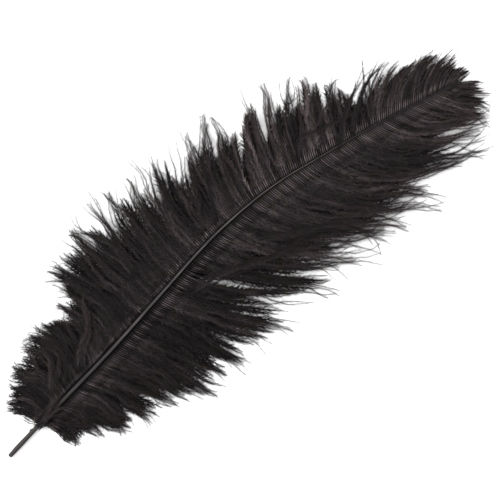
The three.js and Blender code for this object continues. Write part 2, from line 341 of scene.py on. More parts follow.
BARB_PITCH = 1.2
DOWNY_TO = 75  # the barbs stand closer up to here from the cut end and from here to the tip
CLOSE_FROM = 300
CLOSE_PITCH = 0.85
BARB_STEPS = 24
POINT_SHARES = np.linspace(0, 1, BARB_STEPS + 1)[None]  # of the barb's length, at its points
STEP_SHARES = (POINT_SHARES[:, 1:] + POINT_SHARES[:, :-1]) / 2  # and halfway between them
ROOT_OUT = 0.4  # share of the shaft's half width at which the barbs start
SWING_AT_TIP = 1.3  # of the degrees that a barb is swung back
SWING_GROWS = (0.1, 0.8)  # shares of the barb between which it swings


def barb_roots(vane):
    """Where the barbs of the upper layer leave the shaft, in mm from its cut end."""
    return np.concatenate([
        np.arange(vane.barbs[0, 0], DOWNY_TO, CLOSE_PITCH),
        np.arange(DOWNY_TO, CLOSE_FROM, BARB_PITCH),
        np.arange(CLOSE_FROM, vane.barbs[-1, 0], CLOSE_PITCH),
    ])


def plan_path(vane, roots, stretch, swing):
    """Barbs from above, rooted at the given places along the shaft: one row of points for each barb."""
    length = along(vane.barbs, BARB_LENGTH, roots) * stretch
    leaves = along(vane.barbs, BARB_LEAVES, roots)
    ends = along(vane.barbs, BARB_ENDS, roots)
    middle = (np.arange(BARB_STEPS) + 0.5) / BARB_STEPS
    heading = ends[:, None] + (leaves - ends)[:, None] * (1 - middle) ** vane.turn
    angle = np.radians(heading + swing[:, None] * SWING_AT_TIP * smoothstep(*SWING_GROWS, middle))
    moves = np.stack([np.cos(angle), np.sin(angle) * vane.side], -1) * (length / BARB_STEPS)[:, None, None]
    half_width = along(SHAFT, SHAFT_WIDTH, roots) / 2
    start = np.stack([roots, along(SHAFT, SHAFT_BOW, roots)], -1)
    start = start + shaft_across(roots) * (half_width * ROOT_OUT * vane.side)[:, None]
    return np.concatenate([start[:, None], start[:, None] + np.cumsum(moves, 1)], 1)


def distance_along(plan):
    step = np.linalg.norm(np.diff(plan, axis=1), axis=2)
    return np.concatenate([np.zeros((len(plan), 1)), np.cumsum(step, 1)], 1)


# mm from wave to wave, and how far it goes: in degrees of bending, in mm of height or in tone
WISP_WAVE = (27, 8)
BARB_WAVE = (14, 6)
LOCK_WAVE = (42, 2.5)
LOOSE_WAVE = (15, 6)
HEIGHT_WAVE = (30, 0.6)
# the tone wave is a painted highlight that comes and goes along each barb
TONE_WAVE = (22, 0.08)
WAVE_VARIES = (0.7, 1.4)
SIZE_VARIES = (0.4, 1.4)


def ripple(rng, group, travelled, wave_length, size):
    """A smooth wave along each row. Rows of one group share theirs."""
    groups = group.max() + 1
    own_length = wave_length * rng.uniform(*WAVE_VARIES, groups)[group]
    phase = rng.uniform(0, 1, groups)[group]
    own_size = size * rng.uniform(*SIZE_VARIES, groups)[group]
    return own_size[:, None] * np.sin(2 * np.pi * (travelled / own_length[:, None] + phase[:, None]))


def bent(plan, bend):
    """The paths with their headings turned by these degrees, step by step."""
    moves = np.diff(plan, axis=1)
    step = np.linalg.norm(moves, axis=2)
    angle = np.arctan2(moves[..., 1], moves[..., 0]) + np.radians(bend)
    moves = np.stack([np.cos(angle), np.sin(angle)], -1) * step[..., None]
    return np.concatenate([plan[:, :1], plan[:, :1] + np.cumsum(moves, 1)], 1)


WISP_BARBS = (2, 4)
WISP_SWING_VARIES = 3.5  # degrees, as are the next two
WISP_CURL_VARIES = 14
MOST_CURL = 16
SHORT_WISP = 0.95  # of its lock's body
LONG_WISP = 1.06  # of its lock's reach
LONG_WISPS = 0.45  # the more, the fewer wisps reach as far as their lock can
WISP_LIFT_VARIES = 0.8  # mm
DOWN_CURL = 0.9  # how much more the barbs curl in the down at the base
DOWN_ENDS = (55, 90)  # mm from the cut end


def curly(x):
    """How much the barbs curl at x, 1 beyond the down."""
    return 1 + DOWN_CURL * (1 - smoothstep(*DOWN_ENDS, x))


def in_wisps(lock, rng):
    """The wisp of each barb. A wisp is a few neighbours of one lock."""
    wisp = np.empty(len(lock), int)
    start = wisps = 0
    while start < len(lock):
        size = rng.integers(WISP_BARBS[0], WISP_BARBS[1] + 1)
        wisp[start:start + size] = wisps
        start += size
        wisps += 1
    return np.unique(lock * len(lock) + wisp, return_inverse=True)[1]


def middles(roots, group):
    """The middle of each group's roots along the shaft."""
    return np.array([roots[group == g].mean() for g in range(group.max() + 1)])


def describe_locks(vane, top, lock, rng):
    ends, swing, reach, body, hold = vane.locks.T
    return SimpleNamespace(
        root=middles(top, lock), swing=swing, reach=reach, body=body, hold=hold,
        lift=rng.uniform(0, 1, len(ends)), tone=rng.uniform(0, 1, len(ends)),
    )


def describe_wisps(top, lock, wisp, locks, rng):
    count = wisp.max() + 1
    wisps = SimpleNamespace(root=middles(top, wisp))
    wisps.lock = np.array([lock[wisp == w][0] for w in range(count)])
    wisps.swing = locks.swing[wisps.lock] + rng.normal(0, WISP_SWING_VARIES, count)
    shortest = locks.body[wisps.lock] * SHORT_WISP
    longest = locks.reach[wisps.lock] * LONG_WISP
    wisps.stretch = shortest + (longest - shortest) * rng.random(count) ** LONG_WISPS
    wisps.lift = rng.normal(0, WISP_LIFT_VARIES, count)
    wisps.tone = rng.uniform(0, 1, count)
    curl = np.clip(rng.normal(0, WISP_CURL_VARIES, count), -MOST_CURL, MOST_CURL)
    wisps.curl = curl * curly(wisps.root)
    return wisps


STRAY_SHARE = 0.035  # of the barbs, which lie out of their wisp
STRAY_STRETCH = (0.88, 1.04)
STRAY_SWING = 14  # degrees to either side at most
BARB_SHORTER = 0.25  # at most, as a share of its wisp's length
BARB_SWING_VARIES = 4  # degrees
UNDER_STRETCH = (0.78, 1.14)  # of the lock's body
UNDER_REACH = 0.94  # at most, of the lock's reach
UNDER_SWING = 0.5  # of the locks' own
UNDER_SWING_VARIES = 0.8  # degrees


def describe_barbs(top, lock, wisp, locks, wisps, rng):
    """The upper layer's barbs, and after them those of the layer beneath it."""
    barbs = SimpleNamespace(
        root=np.concatenate([top, top + BARB_PITCH / 2]), under=np.repeat([False, True], len(top)),
        lock=np.tile(lock, 2), wisp=np.tile(wisp, 2),
    )
    count, under = len(barbs.root), barbs.under
    barbs.stray = (rng.random(count) < STRAY_SHARE) & ~under
    barbs.stretch = wisps.stretch[barbs.wisp] * (1 - BARB_SHORTER * rng.random(count) ** 2)
    barbs.stretch[barbs.stray] = rng.uniform(*STRAY_STRETCH, barbs.stray.sum())
    above_it = barbs.lock[under]
    body = locks.body[above_it] * rng.uniform(*UNDER_STRETCH, under.sum())
    barbs.stretch[under] = np.minimum(body, locks.reach[above_it] * UNDER_REACH)
    barbs.swing = wisps.swing[barbs.wisp] + rng.normal(0, BARB_SWING_VARIES, count)
    barbs.swing = barbs.swing + barbs.stray * rng.uniform(-STRAY_SWING, STRAY_SWING, count)
    shared = UNDER_SWING * np.interp(barbs.root[under], locks.root, locks.swing)
    shared = shared + rng.normal(0, UNDER_SWING_VARIES, under.sum())
    barbs.swing[under] = shared + (locks.swing[above_it] - shared) * locks.hold[above_it]
    return barbs


WISP_HOLD = 0.72  # how close the barbs come to their wisp
TIP_HOLD_LOSS = 0.5  # how much looser they are at the feather's tip
TIP_LOOSENS = (296, 308)  # mm from the cut end
STRAY_HOLD = 0.1
LOCK_GATHERS = (0.4, 1.0)  # shares of the length between which a wisp is drawn to its lock
WISP_GATHERS = (0.45, 1.0)  # and a barb to its wisp


def gathered(vane, barbs, locks, wisps):
    """The barbs from above, drawn to their wisps, which are drawn to the middle of their locks."""
    lock_root, lock_swing = locks.root[wisps.lock], locks.swing[wisps.lock]
    wisp_path = plan_path(vane, wisps.root, wisps.stretch, wisps.swing)
    lock_path = plan_path(vane, lock_root, wisps.stretch, lock_swing)
    hold = locks.hold[wisps.lock][:, None] * smoothstep(*LOCK_GATHERS, POINT_SHARES)
    wisp_path = wisp_path + (lock_path - wisp_path) * hold[..., None]
    plan = plan_path(vane, barbs.root, barbs.stretch, barbs.swing)
    hold = np.where(barbs.under, 0, WISP_HOLD - TIP_HOLD_LOSS * smoothstep(*TIP_LOOSENS, barbs.root))
    hold = np.where(barbs.stray, STRAY_HOLD, hold)[:, None] * smoothstep(*WISP_GATHERS, POINT_SHARES)
    return plan + (wisp_path[barbs.wisp] - plan) * hold[..., None]


STRAIGHT_COMB = 0.6  # share of the comb in which the barbs stay straight
BENDS_WITHIN = 18  # mm beyond the comb, from where they bend in full
WISP_CURLS_FROM = 0.6  # share of the barb
BARB_CURLS_FROM = 0.75
BARB_CURL_VARIES = 12  # degrees


def rippled(vane, barbs, wisps, plan, travelled, rng):
    """The upper layer's barbs bent to and fro beyond the comb and curled at their ends."""
    halfway = (travelled[:, 1:] + travelled[:, :-1]) / 2
    count, above = len(plan), ~barbs.under
    bend = ripple(rng, barbs.wisp, halfway, *WISP_WAVE)
    bend = bend + ripple(rng, np.arange(count), halfway, *BARB_WAVE)
    bend = (bend + ripple(rng, barbs.lock, halfway, *LOCK_WAVE)) * above[:, None]
    bend = bend * smoothstep(vane.comb * STRAIGHT_COMB, vane.comb + BENDS_WITHIN, halfway)
    bend = bend * curly(barbs.root)[:, None]
    wisp_curl = wisps.curl[barbs.wisp] * above
    bend = bend + wisp_curl[:, None] * smoothstep(WISP_CURLS_FROM, 1, STEP_SHARES)
    own_curl = rng.normal(0, BARB_CURL_VARIES, count) * above
    return bent(plan, bend + own_curl[:, None] * smoothstep(BARB_CURLS_FROM, 1, STEP_SHARES))


ROOT_DROP = 0.35  # how far below the shaft's axis the barbs start, as a share of its depth
UNDER_DROP = 0.4  # mm that the lower layer starts below them
# mm that the barbs arch, and what the lock, the single barb and being a stray change in it
ARCH = 2.2
LOCK_ARCH = 1.2
ARCH_VARIES = 0.6
STRAY_ARCH = 2.5
UNDER_ARCH = -0.5
FULL_ARCH_LENGTH = 50  # mm of barb. A shorter one has a smaller share of the arch
LEAST_ARCH = 0.25
ARCH_SKEW = 0.9  # under 1, the arch is highest before the middle
# mm that the barbs' ends lie above the surface, at least, and what the lock and the single barb add
REST = 0.6
LOCK_REST = 1.8
REST_VARIES = 1.2
UNDER_REST = 0.3
RESTS_FROM = 0.3  # share of the barb
WAVES_WITHIN = 15  # mm beyond the comb


def barb_heights(vane, barbs, locks, wisps, travelled, rng):
    """The barbs leave the shaft's flanks, arch and come down close to the surface."""
    count = len(travelled)
    flank = along(SHAFT, SHAFT_RISE, barbs.root) - ROOT_DROP * along(SHAFT, SHAFT_DEPTH, barbs.root)
    flank = flank - UNDER_DROP * barbs.under
    crown = ARCH + LOCK_ARCH * locks.lift[barbs.lock] + wisps.lift[barbs.wisp]
    crown = crown + rng.normal(0, ARCH_VARIES, count) + barbs.stray * STRAY_ARCH
    crown = np.where(barbs.under, UNDER_ARCH, crown)
    crown = crown * np.clip(travelled[:, -1] / FULL_ARCH_LENGTH, LEAST_ARCH, 1)
    rest = REST + LOCK_REST * locks.lift[barbs.lock] + REST_VARIES * rng.random(count)
    rest = np.where(barbs.under, UNDER_REST, rest)
    height = flank[:, None] * (1 - smoothstep(0, 1, POINT_SHARES))
    height = height + crown[:, None] * np.sin(np.pi * POINT_SHARES ** ARCH_SKEW)
    height = height + rest[:, None] * smoothstep(RESTS_FROM, 1, POINT_SHARES)
    waves = ripple(rng, barbs.wisp, travelled, *HEIGHT_WAVE)
    return height + waves * smoothstep(vane.comb, vane.comb + WAVES_WITHIN, travelled)


LOCK_TONE_VARIES = 0.12
WISP_TONE_VARIES = 0.4
BARB_TONE_VARIES = 0.44
PALER_OVER = (105, 205)  # places along the shaft between which the barbs get paler


def barb_tones(vane, barbs, locks, wisps, travelled, rng):
    """How pale each barb is: 0 is the blackest, and 1 takes the light best."""
    count = len(travelled)
    tone = LOCK_TONE_VARIES * (locks.tone[barbs.lock] - 0.5)
    tone = tone + WISP_TONE_VARIES * (wisps.tone[barbs.wisp] - 0.5)
    tone = tone + BARB_TONE_VARIES * (rng.random(count) - 0.5)
    least, gain = vane.tone
    tone = tone + least + gain * smoothstep(*PALER_OVER, barbs.root)
    # each barb's tone, with the painted highlight of the tone wave along it
    return tone[:, None] + ripple(rng, np.arange(count), travelled, *TONE_WAVE)


DARK_STARTS = 0.9  # mm from the shaft, beyond which the painted shade beside it starts to lift


def comb_light(vane, travelled, roots):
    """Painted light on the comb: painted shade in a strip beside the shaft and a painted highlight at its
    crest.
    """
    strip, fades, gone = vane.dark
    palest, width, most = vane.crest
    dark = 1 - smoothstep(fades, gone, roots)[:, None]
    out_of_painted_shade = 1 - dark * (1 - smoothstep(DARK_STARTS, strip, travelled))
    return out_of_painted_shade * (1 + most * np.exp(-((travelled - palest) / width) ** 2))


# mm, two thirds of a barb's height
BLADE_AT_SHAFT = 0.95
BLADE_IN_FLUFF = 0.14
BLADE_AT_TIP = 0.05
BLADE_THINS = 5  # mm beyond the comb
ROOT_BLADE = 0.5  # mm at most where a barb starts
ROOT_BLADE_GROWS = 0.35  # mm more for each mm from there
BLADE_TAPERS = 0.5  # share of the barb
BLADE_LEAN = 40  # degrees
LEAN_VARIES = 8
UNDER_BLADE = 0.9
UNDER_BLADE_GAIN = 0.8
UNDER_BLADE_GROWS = (0.1, 0.4)  # shares of the barb, as in the next four lines
UNDER_THINS_SOONER = 0.15
UNDER_LIFTS = (0.15, 0.5)
UNDER_LIT = (0.35, 0.7)
UNDER_NARROWS = (0.76, 1.0)
UNDER_LEAN = 75  # degrees
# painted shade on the lower layer: its light rises from none to this share between the shares UNDER_LIT of
# the barb
UNDER_LIGHT = 0.6
FLUFF_AT_SHAFT = 1.0  # mm of barbule
FLUFF_FULL = 3.6
FLUFF_AT_TIP = 2.5
FLUFF_GROWS = 3  # mm beyond the comb
FIRST_BARBULES = (-0.5, 1.5)  # mm from the root
NEAR_TIP = 0.6  # share of the barb
UNDER_NEAR_TIP = 0.8
UNDER_FLUFF = 4.6
FULL_FLUFF_LENGTH = 30  # mm of barb. A shorter one has shorter barbules
LEAST_FLUFF = 0.65  # of the full length
SPARE_FLUFF = 0.4  # how much shorter the barbules get towards the feather's tip
SPARE_OVER = (245, 305)  # mm from the cut end
BARBULE_NARROWS = 0.5  # share of its width that a barbule near its barb's tip lacks
SPREAD_FULL = 23  # degrees between a barbule and its barb
SPREAD_AT_TIP = 26
UNDER_SPREAD = 32
LOWEST_LINE = 0.55  # mm


def dressed(plan, height, comb, tone, light, under, thickness, rng):
    """Barb centre lines in mm together with what their barbules need to know at each point."""
    count = len(plan)
    travelled = distance_along(plan)
    length = travelled[:, -1]
    t = POINT_SHARES * np.ones((count, 1))
    into_fluff = smoothstep(comb * 0.5, comb + FLUFF_GROWS, travelled)
    near_tip = smoothstep(NEAR_TIP, 1.0, t)
    beneath = under[:, None] & (t >= 0)
    fluff = FLUFF_AT_SHAFT + (FLUFF_FULL - FLUFF_AT_SHAFT) * into_fluff
    fluff = fluff + (FLUFF_AT_TIP - fluff) * near_tip
    under_fluff = UNDER_FLUFF + (FLUFF_AT_TIP - UNDER_FLUFF) * smoothstep(UNDER_NEAR_TIP, 1.0, t)
    fluff = np.where(beneath, under_fluff, fluff * smoothstep(*FIRST_BARBULES, travelled))
    fluff = fluff * np.clip(length / FULL_FLUFF_LENGTH, LEAST_FLUFF, 1)[:, None]
    fluff = fluff * (1 - SPARE_FLUFF * smoothstep(*SPARE_OVER, plan[:, :1, 0]))
    spread = SPREAD_FULL + (SPREAD_AT_TIP - SPREAD_FULL) * near_tip
    thinned = smoothstep(comb * 0.5, comb + BLADE_THINS, travelled)
    blade = BLADE_AT_SHAFT + (BLADE_IN_FLUFF - BLADE_AT_SHAFT) * thinned
    under_blade = UNDER_BLADE * (1 + UNDER_BLADE_GAIN * smoothstep(*UNDER_BLADE_GROWS, t))
    blade = np.where(beneath, under_blade, blade)
    blade = np.minimum(blade, ROOT_BLADE + ROOT_BLADE_GROWS * travelled) * thickness
    tapered = smoothstep(BLADE_TAPERS, 1.0, t - UNDER_THINS_SOONER * beneath)
    blade = blade + (BLADE_AT_TIP - blade) * tapered
    lean = np.where(beneath, UNDER_LEAN, BLADE_LEAN + rng.normal(0, LEAN_VARIES, count)[:, None])
    return {
        "points": np.concatenate([plan, np.maximum(height, LOWEST_LINE)[..., None]], -1),
        "along": t,
        "tone": tone + 0 * t,
        "fluff": fluff * MM,
        "spread": np.radians(np.where(beneath, UNDER_SPREAD, spread)),
        "hang": np.where(beneath, 1 - smoothstep(*UNDER_LIFTS, t), 1 - into_fluff),
        # painted light and shade: the comb's, and the lower layer's, which is darker near the shaft
        "light": np.where(beneath, UNDER_LIGHT * smoothstep(*UNDER_LIT, t), light),
        "under": beneath * (1 - smoothstep(*UNDER_NARROWS, t)),
        "fine": 1 - BARBULE_NARROWS * near_tip,
        "blade": blade * MM,
        "lean": np.radians(lean),
    }


def grow_vane(vane):
    """The barbs of one vane, gathered into wisps and locks, over a shorter layer that is not gathered."""
    rng = np.random.default_rng(vane.seed)
    top = barb_roots(vane)
    lock = np.searchsorted(vane.locks[:, 0], top)
    wisp = in_wisps(lock, rng)
    locks = describe_locks(vane, top, lock, rng)
    wisps = describe_wisps(top, lock, wisp, locks, rng)
    barbs = describe_barbs(top, lock, wisp, locks, wisps, rng)
    plan = gathered(vane, barbs, locks, wisps)
    travelled = distance_along(plan)
    plan = rippled(vane, barbs, wisps, plan, travelled, rng)
    height = barb_heights(vane, barbs, locks, wisps, travelled, rng)
    tone = barb_tones(vane, barbs, locks, wisps, travelled, rng)
    light = comb_light(vane, travelled, barbs.root)
    return barbs.root, dressed(plan, height, vane.comb, tone, light, barbs.under, 1, rng)


# wisps that have slipped across their neighbours: number of barbs, how far they spread at first, height
# over the rest, tone and share of the full fluff, then the points along them in mm
LOOSE = [
    (1, 0, 1.5, 0.1, 0.3, [(240, 24), (234, 18), (230, 14), (227, 8), (226, 2)]),
    (1, 0, 0.6, 0.1, 0.4, [(200, 10), (211, 4), (219, 3), (233, 4), (248, 3), (256, 2)]),
    (2, 1.2, 0.8, 0.2, 0.6, [(236, 17), (239, 28), (246, 31), (254, 35), (265, 35)]),
    (3, 1.5, 0.8, 0.2, 0.6, [(224, 20), (232, 30), (244, 28), (256, 25), (269, 22), (280, 18)]),
    (2, 0.5, 0.8, 0.3, 0.6, [(268, 12), (274, 22), (279, 30), (284, 37), (290, 43), (297, 46)]),
    (5, 1.5, 0.8, 0.15, 0.9, [(244, 12), (252, 18), (260, 25), (269, 30), (279, 34), (288, 36)]),
    (5, 1.5, 0.8, 0.2, 0.9, [(256, 12), (263, 19), (271, 25), (280, 30), (290, 33), (299, 34)]),
    (2, 0.5, 0.8, 0.3, 0.6, [(272, 12), (277, 22), (284, 32), (290, 36), (295, 37)]),
    (3, 0.8, 0.8, 0.3, 0.6, [(248, 14), (254, 28), (261, 38), (268, 43), (277, 43)]),
    (2, 0.5, 0.8, 0.3, 0.6, [(212, 20), (218, 42), (224, 57), (226, 64), (228, 69)]),
    (2, 0.5, 0.8, 0.3, 0.6, [(222, 20), (231, 40), (235, 48), (236, 56), (239, 65)]),
    (2, 0.5, 0.8, 0.3, 0.6, [(224, 20), (231, 38), (236, 48), (245, 50), (250, 54), (254, 61)]),
    (2, 0.5, 0.8, 0.3, 0.6, [(166, 0), (180, -14), (192, -25), (198, -33), (199, -40), (203, -48)]),
    (
        9, 3.5, 0.6, 0.15, 1,
        [(180, 4), (194, -6), (203, -10), (212, -14), (220, -20), (227, -29), (231, -38), (234, -47)],
    ),
    (7, 3.0, 0.6, 0.25, 1, [(133, 4), (148, 3), (158, 0), (167, -4), (184, -10), (199, -13), (210, -18)]),
    (2, 0.5, 0.2, 0.1, 0.5, [(84, 29), (78, 38), (75, 46), (74, 53)]),
    (3, 1.0, 0.6, 0.1, 1, [(24, 4), (23, 5), (21, 8), (20, 12)]),
    (6, 5.0, 0.4, 0.3, 1, [(48, 10), (54, 17), (58, 24), (58, 30), (54, 35)]),
    (6, 5.0, 0.4, 0.3, 1, [(61, 8), (65, 15), (70, 20), (78, 25), (84, 34), (86, 49)]),
    (5, 4.0, 0.4, 0.3, 1, [(42, 8), (47, 18), (52, 26), (53, 34)]),
    (6, 2.0, 0.8, 0.2, 1, [(117, 30), (118, 42), (118, 54), (113, 63), (106, 72)]),
    (4, 3.0, 0.2, 0.4, 1, [(310, -1), (317, -4), (324, -9), (330, -15)]),
    (6, 1.5, 0.2, 0.4, 1, [(313, -0.5), (319, -0.8), (325, -0.9), (331, -1)]),
    (3, 0.8, 1.0, 0.2, 1, [(168, 24), (180, 46), (185, 58), (186, 66), (183, 72)]),
    (3, 0.8, 1.0, 0.2, 1, [(160, 24), (171, 44), (178, 58), (186, 66), (195, 68)]),
    (4, 1.0, 0.8, 0.2, 1, [(31, -2), (39, -9), (46, -15), (48, -22), (48, -29)]),
    (5, 2.0, 2.2, 0.3, 0.7, [(21, 2.6), (27, 4.2), (33, 6), (38, 9), (41, 13)]),
    (5, 2.0, 2.2, 0.25, 0.7, [(21, 2.2), (28, 3.6), (35, 5), (41, 7), (46, 11)]),
    (5, 2.0, 2.2, 0.3, 0.7, [(22, 2.5), (28, 3.0), (34, 3.2), (39, 2.6), (44, 0)]),
    (3, 1.5, 2.2, 0.25, 0.7, [(21, 2), (27, 2), (32, 1.2), (37, -1.0), (41, -5)]),
    (3, 1.5, 2.2, 0.2, 0.7, [(22, 1.5), (27, 0.2), (32, -3), (35, -8)]),
    (3, 1.5, 2.2, 0.2, 0.7, [(21, 3), (25, 5), (28, 9), (30, 13)]),
]
LOOSE_REACH = (0.75, 1.0)
LOOSE_CLOSES = (0, 0.7)  # shares of the wisp between which its barbs come closer
LOOSE_CLOSER = 0.6  # share of their spread that they lose
LOOSE_LIFT_VARIES = 0.8  # mm
LOOSE_TONE_VARIES = 0.3
LOOSE_CURL_VARIES = 20  # degrees
LOOSE_ARCH = 3.6  # mm, as are the next two
LOOSE_REST = 2.4
LOOSE_SINKS = 0.5
LOOSE_SETTLES = (0, 0.15)  # shares of the wisp between which it rises to its own height
LOOSE_DARK = (0.5, 3)  # mm from where it starts, between which it comes out into the light
LOOSE_COMB = 3  # mm
LOOSE_THICKNESS = 0.25  # of a vane's barb
LOOSE_SEED = 31


def out_from_shaft(x, y):
    """How far out in its vane a place lies: 0 on the shaft and 1 where the barbs end."""
    out = y - along(SHAFT, SHAFT_BOW, x)
    left = out / along(LEFT_BARBS, BARB_LENGTH, x)
    right = -out / along(RIGHT_BARBS, BARB_LENGTH, x)
    return np.clip(np.where(out > 0, left, right), 0, 1)


def grow_loose(seed):
    """The barbs of the slipped wisps, which lie on top of the vanes."""
    rng = np.random.default_rng(seed)
    plans, heights, tones, shares = [], [], [], []
    for barbs, spread, lift, tone, fluff, points in LOOSE:
        points = np.array(points, float)
        distance = np.concatenate([[0], np.cumsum(np.linalg.norm(np.diff(points, axis=0), axis=1))])
        table = np.column_stack([distance, points])
        for _ in range(barbs):
            reach = distance[-1] * rng.uniform(*LOOSE_REACH)
            s = np.linspace(0, reach, BARB_STEPS + 1)
            path = np.column_stack([along(table, 1, s), along(table, 2, s)])
            heading = np.gradient(path, axis=0)
            across = np.column_stack([-heading[:, 1], heading[:, 0]])
            across /= np.linalg.norm(across, axis=1, keepdims=True)
            closer = LOOSE_CLOSER * smoothstep(*LOOSE_CLOSES, s / reach)
            offset = rng.uniform(-1, 1) * spread * (1 - closer)
            plans.append(path + across * offset[:, None])
            heights.append(lift + rng.uniform(0, LOOSE_LIFT_VARIES))
            tones.append(np.clip(tone + rng.uniform(-LOOSE_TONE_VARIES, LOOSE_TONE_VARIES), 0, 1))
            shares.append(fluff)
    plan = np.array(plans)
    count = len(plan)
    travelled = distance_along(plan)
    halfway = (travelled[:, 1:] + travelled[:, :-1]) / 2
    bend = ripple(rng, np.arange(count), halfway, *LOOSE_WAVE)
    curl = rng.normal(0, LOOSE_CURL_VARIES, count)
    plan = bent(plan, bend + curl[:, None] * smoothstep(BARB_CURLS_FROM, 1, STEP_SHARES))
    x, y = plan[..., 0].ravel(), plan[..., 1].ravel()
    share = out_from_shaft(x, y).reshape(plan.shape[:2])
    height = along(SHAFT, SHAFT_RISE, x).reshape(share.shape) * (1 - smoothstep(0, 1, share))
    height = height + LOOSE_ARCH * np.sin(np.pi * share ** ARCH_SKEW)
    height = height + LOOSE_REST * smoothstep(RESTS_FROM, 1, share)
    settle = smoothstep(*LOOSE_SETTLES, POINT_SHARES) * np.ones((count, 1))
    height = height + np.array(heights)[:, None] * settle - LOOSE_SINKS
    light = smoothstep(*LOOSE_DARK, travelled)
    tone, under = np.array(tones)[:, None], np.zeros(count, bool)
    barbs = dressed(plan, height, LOOSE_COMB, tone, light, under, LOOSE_THICKNESS, rng)
    barbs["fluff"] *= np.array(shares)[:, None]
    return barbs


def guide_mesh(name, barbs, chosen):
    """The chosen barbs' centre lines as a mesh of edges that carries what the fibres need to know."""
    points = (barbs["points"][chosen] + SHIFT) * MM
    count, steps = points.shape[:2]
    index = np.arange(count * steps).reshape(count, steps)
    edges = np.stack([index[:, :-1], index[:, 1:]], -1).reshape(-1, 2)
    mesh = bpy.data.meshes.new(name)
    mesh.from_pydata(points.reshape(-1, 3), edges, [])
    for key, values in barbs.items():
        if key != "points":
            attribute = mesh.attributes.new(key, "FLOAT", "POINT")
            attribute.data.foreach_set("value", values[chosen].astype(np.float32).ravel())
    return mesh


BLADE_THINNESS = 0.16  # share of the barb's height
# a barb's painted shade at mid height, and how much lighter its painted highlight is at its upper edge
BLADE_SHADE = 0.33
BLADE_SHADE_RISES = 0.67
ROLL_VARIES = 0.9  # radians that a barbule is turned up or down round its barb
HANG_ROLL = 0.9  # radians that it hangs down in the comb
SPREAD_VARIES = (0.3, 1.8)  # of the angle between a barbule and its barb
FLUFF_VARIES = (0.6, 1.15)  # of its length
BARBULE_THINNESS = 0.45  # share of its width
# a barbule's painted shade at its root, and how much lighter it is painted towards its upper side and its
# tip
BARBULE_SHADE = 0.3
BARBULE_SHADE_UP = 0.2
BARBULE_SHADE_OUT = 0.5
BARBULE_TONE_VARIES = 0.17
# where barbules hang, their tone and shade are painted darker by these shares as painted shade, and every
# fibre's painted light is stronger
HANG_TONE_LOSS = 0.6
HANG_SHADE_LOSS = 0.8
HANG_LIGHT_GAIN = 0.35
# how much the painted light and shade depends on the place on the fibre and not its tone, and more where
# barbules hang
BY_PLACE = 0.4
HANG_BY_PLACE = 0.5
ACROSS_SHARE = 0.02  # of the bake layer's width, for a fibre's thickness
SURFACE_GAP = 0.1  # mm
# in mm. Under is the lower layer, and the clearance the least height of a barbule's tip
FIBRE_SIZES = {
    "Barbule spacing": 0.26, "Barbule width": 0.32, "Under width": 0.95, "Under spacing": 0.36,
    "Clearance": 0.3,
}


